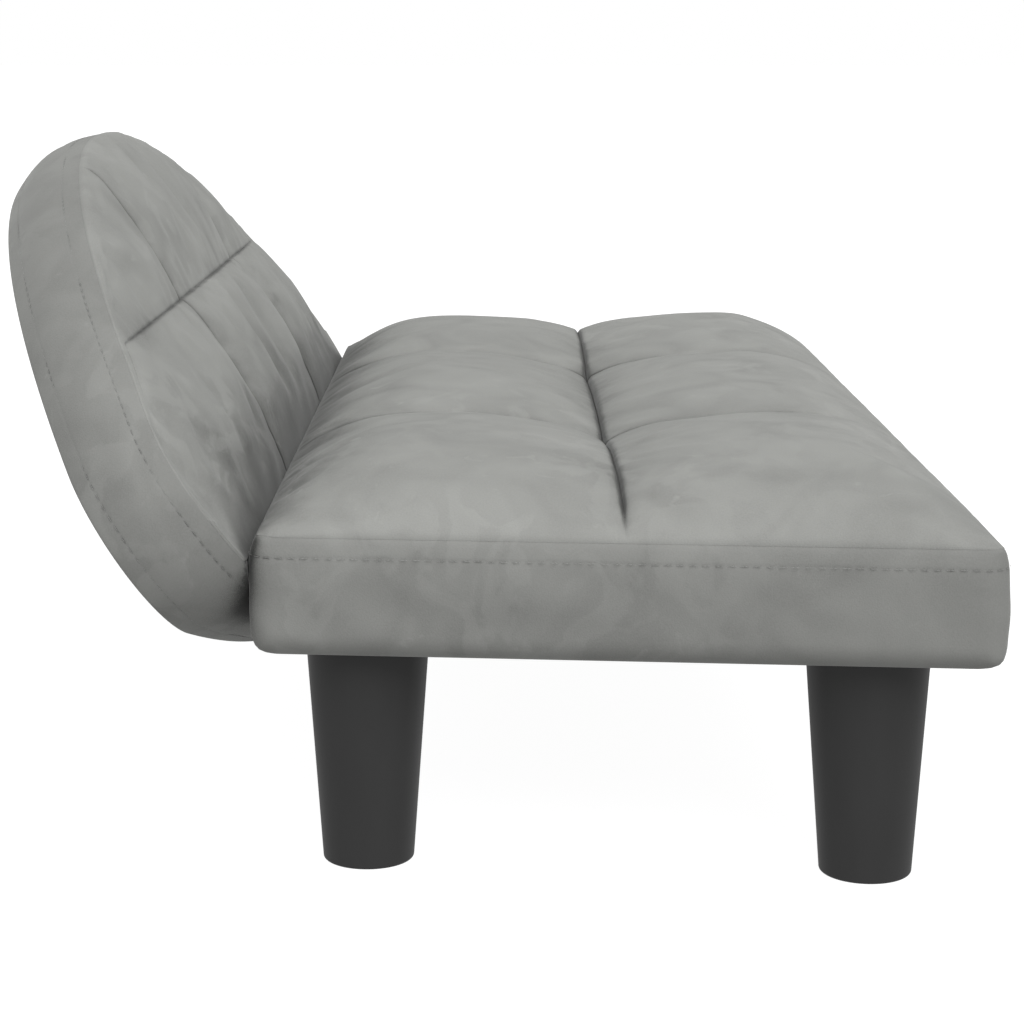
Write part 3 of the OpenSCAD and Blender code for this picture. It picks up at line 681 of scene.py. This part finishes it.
def back_surface(a, b):
    """Drawn shape of the quilted front of the back, and the distances to its seams and rim.

    The rows follow the level seam, and leave it only where the outline drops below it.
    """
    aa, bb = np.meshgrid(a, b)
    x = back_x(aa)
    high = back_edge(x, 1)
    low = np.maximum(back_edge(x, -1), -FOOT_DROP)
    middle = np.minimum(0, high - np.minimum(0.004, (high - low) / 2))
    t = middle + np.abs(bb) * (np.where(bb < 0, low, high) - middle)
    rim = np.maximum(np.minimum(back_inside(x, t), t + FOOT_DROP), 0)
    cross = np.abs(np.abs(x) - CROSS_X)
    level = np.hypot(t, np.maximum(np.abs(x) - END_X, 0) * 2)
    fall = 1 - np.clip((np.abs(x) - BACK_FALL) / (BACK_HALF - BACK_FALL), 0, 1)
    roll = climb(back_inside(x, t), BACK_ROLL, 2.2, 0.55) * climb(t + FOOT_DROP, BACK_ROLL, 2, 0.9)
    rise = np.where(t > 0, climb(level, UPPER_RISE, 2, 0.9), climb(level, LOWER_RISE, 2.2, 0.5))
    tufts = LEVEL_SHARE + (1 - LEVEL_SHARE) * rise
    kept = 1 - (1 - BACK_CROSS_SHARE) * climb(back_inside(x, t), 0.030, 2, 1)
    lift = fall * roll * tufts * (kept + (1 - kept) * climb(cross, 0.090, 2, 0.9))
    return x, t, BACK_HIGH * lift - tucked(x, t), cross, level, rim


def tucked(x, t):
    """How far the front seam and the panel bend back at the two ends of the back."""
    ends = np.clip((np.abs(x) - BEND_FROM) / (BACK_HALF - BEND_FROM), 0, 1)
    return BEND * ends ** 2 * np.clip((t + FOOT_DROP - 0.020) / 0.040, 0, 1)


def make_back_quilt():
    a_coarse = np.linspace(-3, 3, 121)
    b_coarse = np.linspace(-1, 1, 39)
    x, t, height, cross, level, rim = back_surface(a_coarse, b_coarse)
    sewn_down = (np.minimum(cross, level) < 1e-5) | (rim < 0.004)
    blown = inflate(leaned(x, -height, t), sewn_down, pressure=2.0, slack=0.015, cap=0.0030)
    fine = 0.0026
    a = graded(-3, 3, fine / CROSS_X, (-3, -1, 1, 3), [n / CROSS_X for n in NEAR_SEAM])
    b = graded(-1, 1, fine / BACK_RISE, (-1, 0, 1), [n / BACK_RISE for n in NEAR_SEAM])
    x, t, height, cross, level, rim = back_surface(a, b)
    wander = 2 * ripple(x, t, 0.05, 21)
    relief = (sewn(cross, *UPRIGHT_GROOVE) + sewn(level, *LEVEL_GROOVE) + dimpled(cross, t, wander)
              + 0.3 * dimpled(level, x, wander) + 0.0005 * ripple(x, t, 0.06, 22))
    height += np.clip(rim / 0.004, 0, 1) * relief
    top = leaned(x, -np.where(t < RAIL_TOP, np.maximum(height, 0.0006), height), t)
    swollen = resample(blown, (b + 1) / 2 * (len(b_coarse) - 1), (a + 3) / 6 * (len(a_coarse) - 1))
    top += swollen * np.clip((t - RAIL_TOP) / RAIL_FADE, 0, 1)[..., None]
    made = padded_shell("back_quilt_velvet", top, leaned(0, VELVET, 0) - leaned(0, 0, 0))
    # Painted shade along the back's seams.
    painted_seam_shade(made, np.minimum(cross, 2.0 * level), rim, 0.004)
    piece(made, velvet_grey, "velvet", "back_quilt", "back_foam")


def trim(made):
    """Trims a piece of the back along the seat's rear face and at its lower edge."""
    cut_away(made, (0, BEVEL_Y, 0), (0, -1, 0))
    cut_away(made, (0, 0, TRIM_Z), (0, 0, -1))


def band_crown(y, normals):
    """How far the band bulges at y through its thickness: most over the top and under the bottom."""
    turned = np.where(normals[:, 1] > 0, 0.45, 0.35) * np.abs(normals[:, 1])
    return BAND_CROWN * (0.75 + turned) * math.sin(math.pi * y / BACK_T)


def make_back_band():
    flat, normals = back_loop()
    lines = (TOPSTITCH, BACK_T - TOPSTITCH)
    across = graded(0, BACK_T, 0.003, (0, *lines, BACK_T), NEAR_STITCH)
    rings = []
    for y, layer in [(y, 0) for y in across] + [(y, SKIN) for y in reversed(across)]:
        full = math.sin(math.pi * y / BACK_T)
        seam = 0.0003 * math.exp(-min(y, BACK_T - y) / 0.0010)
        pinch = sum(sewn(y - line, 0.0001, 0.0008) for line in lines)
        swell = 0.0006 * full * ripple(flat[:, 0], flat[:, 1] + 1.5 * y, 0.055, 31)
        moved = flat + normals * (band_crown(y, normals) - seam + pinch - layer + swell)[:, None]
        tuck = tucked(flat[:, 0], flat[:, 1]) * (1 - y / BACK_T)
        rings.append(leaned(moved[:, 0], y + tuck, moved[:, 1]))
    shell = np.stack(rings)
    made = make_object("back_band_velvet", shell, grid_faces(*shell.shape[:2], True, True))
    trim(made)
    piece(made, velvet_shaded_side, "velvet", "back_band")
    outward = leaned(normals[:, 0], 0, normals[:, 1]) - leaned(0, 0, 0)
    for name, y in zip(("back_front_topstitch", "back_rear_topstitch"), lines):
        tuck = tucked(flat[:, 0], flat[:, 1]) * (1 - y / BACK_T)
        line = leaned(flat[:, 0], y + tuck, flat[:, 1]) + outward * band_crown(y, normals)[:, None]
        shown = (line[:, 1] > BEVEL_Y + 0.004) & (line[:, 2] > TRIM_Z + 0.004)
        first = np.flatnonzero(shown & ~np.roll(shown, 1))[0]
        order = [k % len(line) for k in range(first, first + len(line)) if shown[k % len(line)]]
        bars = bars_along(line[order], outward[order], closed=False, **STITCH)
        piece(make_object(name, *bars), thread_grey, "velvet")


def make_rear_panel():
    aa, bb = np.meshgrid(np.linspace(-3, 3, 241), graded(-1, 1, 0.05, (-1, 1), (0.004, 0.012, 0.025)))
    x = back_x(aa)
    low, high = back_edge(x, -1), back_edge(x, 1)
    t = (low + high) / 2 + bb * (high - low) / 2
    crown = climb(back_inside(x, t), 0.020) * (0.0007 + 0.0003 * ripple(x, t, 0.11, 41))
    made = padded_shell("back_rear_velvet", leaned(x, BACK_T - 0.0006 + crown, t),
                        leaned(0, -SKIN, 0) - leaned(0, 0, 0))
    trim(made)
    piece(made, velvet_shaded_side, "velvet", "back_rear_panel")


def make_foot_lining():
    """Lining over the bevelled foot, turned under its trimmed edge, 0.7 of its skin outside them."""
    skin = 0.0010
    rear = SEAM_AT_Y + BACK_T / math.cos(LEAN) + (TRIM_Z - SEAM_AT_Z) * math.tan(LEAN)
    top = SEAM_AT_Z - (SEAM_AT_Y - BEVEL_Y) / math.tan(LEAN)
    foot = TRIM_Z + skin * 0.3
    path = [(y, foot) for y in np.linspace(rear, BEVEL_Y + skin, 5)]
    path += [(BEVEL_Y + skin, z) for z in np.linspace(foot, top, 26)[1:]]
    wide = np.linspace(0, BACK_HALF, 2000)
    share = np.linspace(-1, 1, 91)
    rows = []
    for y, z in path:
        t = (y - SEAM_AT_Y) * math.sin(LEAN) + (z - SEAM_AT_Z) * math.cos(LEAN)
        half = wide[(back_edge(wide, 1) >= t) & (back_edge(wide, -1) <= t)].max()
        rows.append(np.column_stack([share * half, np.full(len(share), y), np.full(len(share), z)]))
    made = padded_shell("back_foot_sheet", np.stack(rows), np.array([0, -0.7 * skin, -0.7 * skin]))
    piece(made, lining_grey, "lining", "back_foot_lining")


# ---- The CAD nodes that stay ----

def finish_nodes():
    looks = {
        leg_dark: LEGS,
        rail_wood: ("seat_front_rail", "seat_rear_rail", "back_bottom_rail"),
        post_wood: ("seat_left_rail", "seat_right_rail", "seat_cross_rails", "seat_corner_blocks",
                    "back_uprights"),
        ply_wood: ("seat_deck", "back_board", "back_top_rail", "back_left_post", "back_right_post"),
        steel_zinc: ("leg_studs", "leg_t_nuts", "back_screws", "back_washers"),
    }
    for material, names in looks.items():
        for name in names:
            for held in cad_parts[name].material_slots:
                held.material = material


# ---- Studio ----

def make_studio():
    scene = bpy.context.scene
    scene.view_settings.view_transform = "Standard"
    data = bpy.data.cameras.new("camera")
    data.lens = CAMERA_LENS
    data.shift_x, data.shift_y = CAMERA_SHIFT
    camera = bpy.data.objects.new("camera", data)
    camera.location = CAMERA_AT
    camera.rotation_euler = (math.pi / 2 - CAMERA_DOWN, 0, -math.pi / 2)
    scene.collection.objects.link(camera)
    scene.camera = camera

    lamp = bpy.data.lights.new("overhead", "SUN")
    lamp.energy = LAMP_LIGHT
    lamp.angle = LAMP_SPREAD
    overhead = bpy.data.objects.new("overhead", lamp)
    overhead.rotation_euler = (math.pi / 2 - LAMP_HEIGHT, 0, LAMP_TURN - math.pi / 2)
    scene.collection.objects.link(overhead)

    world = bpy.data.worlds.new("soft_box")
    scene.world = world
    world.use_nodes = True
    tree = world.node_tree
    lit = tree.nodes["Background"]
    lit.inputs["Color"].default_value = (1, 1, 1, 1)
    ahead = add(tree, "ShaderNodeTexCoord").outputs["Generated"]
    up = add(tree, "ShaderNodeSeparateXYZ", {0: ahead}).outputs["Z"]
    tree.links.new(between(tree, up, -0.05, 0.05, GROUND_LIGHT, SKY_LIGHT), lit.inputs["Strength"])
    seen = add(tree, "ShaderNodeBackground", {"Color": (1, 1, 1, 1), "Strength": 1.0})
    which = add(tree, "ShaderNodeLightPath").outputs["Is Camera Ray"]
    both = add(tree, "ShaderNodeMixShader", {0: which, 1: lit.outputs[0], 2: seen.outputs[0]})
    tree.links.new(both.outputs[0], tree.nodes["World Output"].inputs["Surface"])

    corners = [(x * FLOOR_HALF, y * FLOOR_HALF, 0) for x, y in ((-1, -1), (1, -1), (1, 1), (-1, 1))]
    floor = make_object("floor", corners, [(0, 1, 2, 3)])
    floor.visible_diffuse = floor.visible_glossy = False

    def paper(tree, where):
        greys = tones((0.2, 0.2, 0.2), 0.95, 1.05)
        return {"Base Color": ramp(tree, noise(tree, where, 3), (0.3, 0.7), greys)}

    floor.data.materials.append(new_material("floor_white", paper, roughness=0.9, specular_ior_level=0.0,
                                             emission_color=(1, 1, 1, 1), emission_strength=0.96))


make_studio()
make_seat_quilt()
make_seat_boxing()
make_dust_cover()
make_back_quilt()
make_back_band()
make_rear_panel()
make_foot_lining()
finish_nodes()
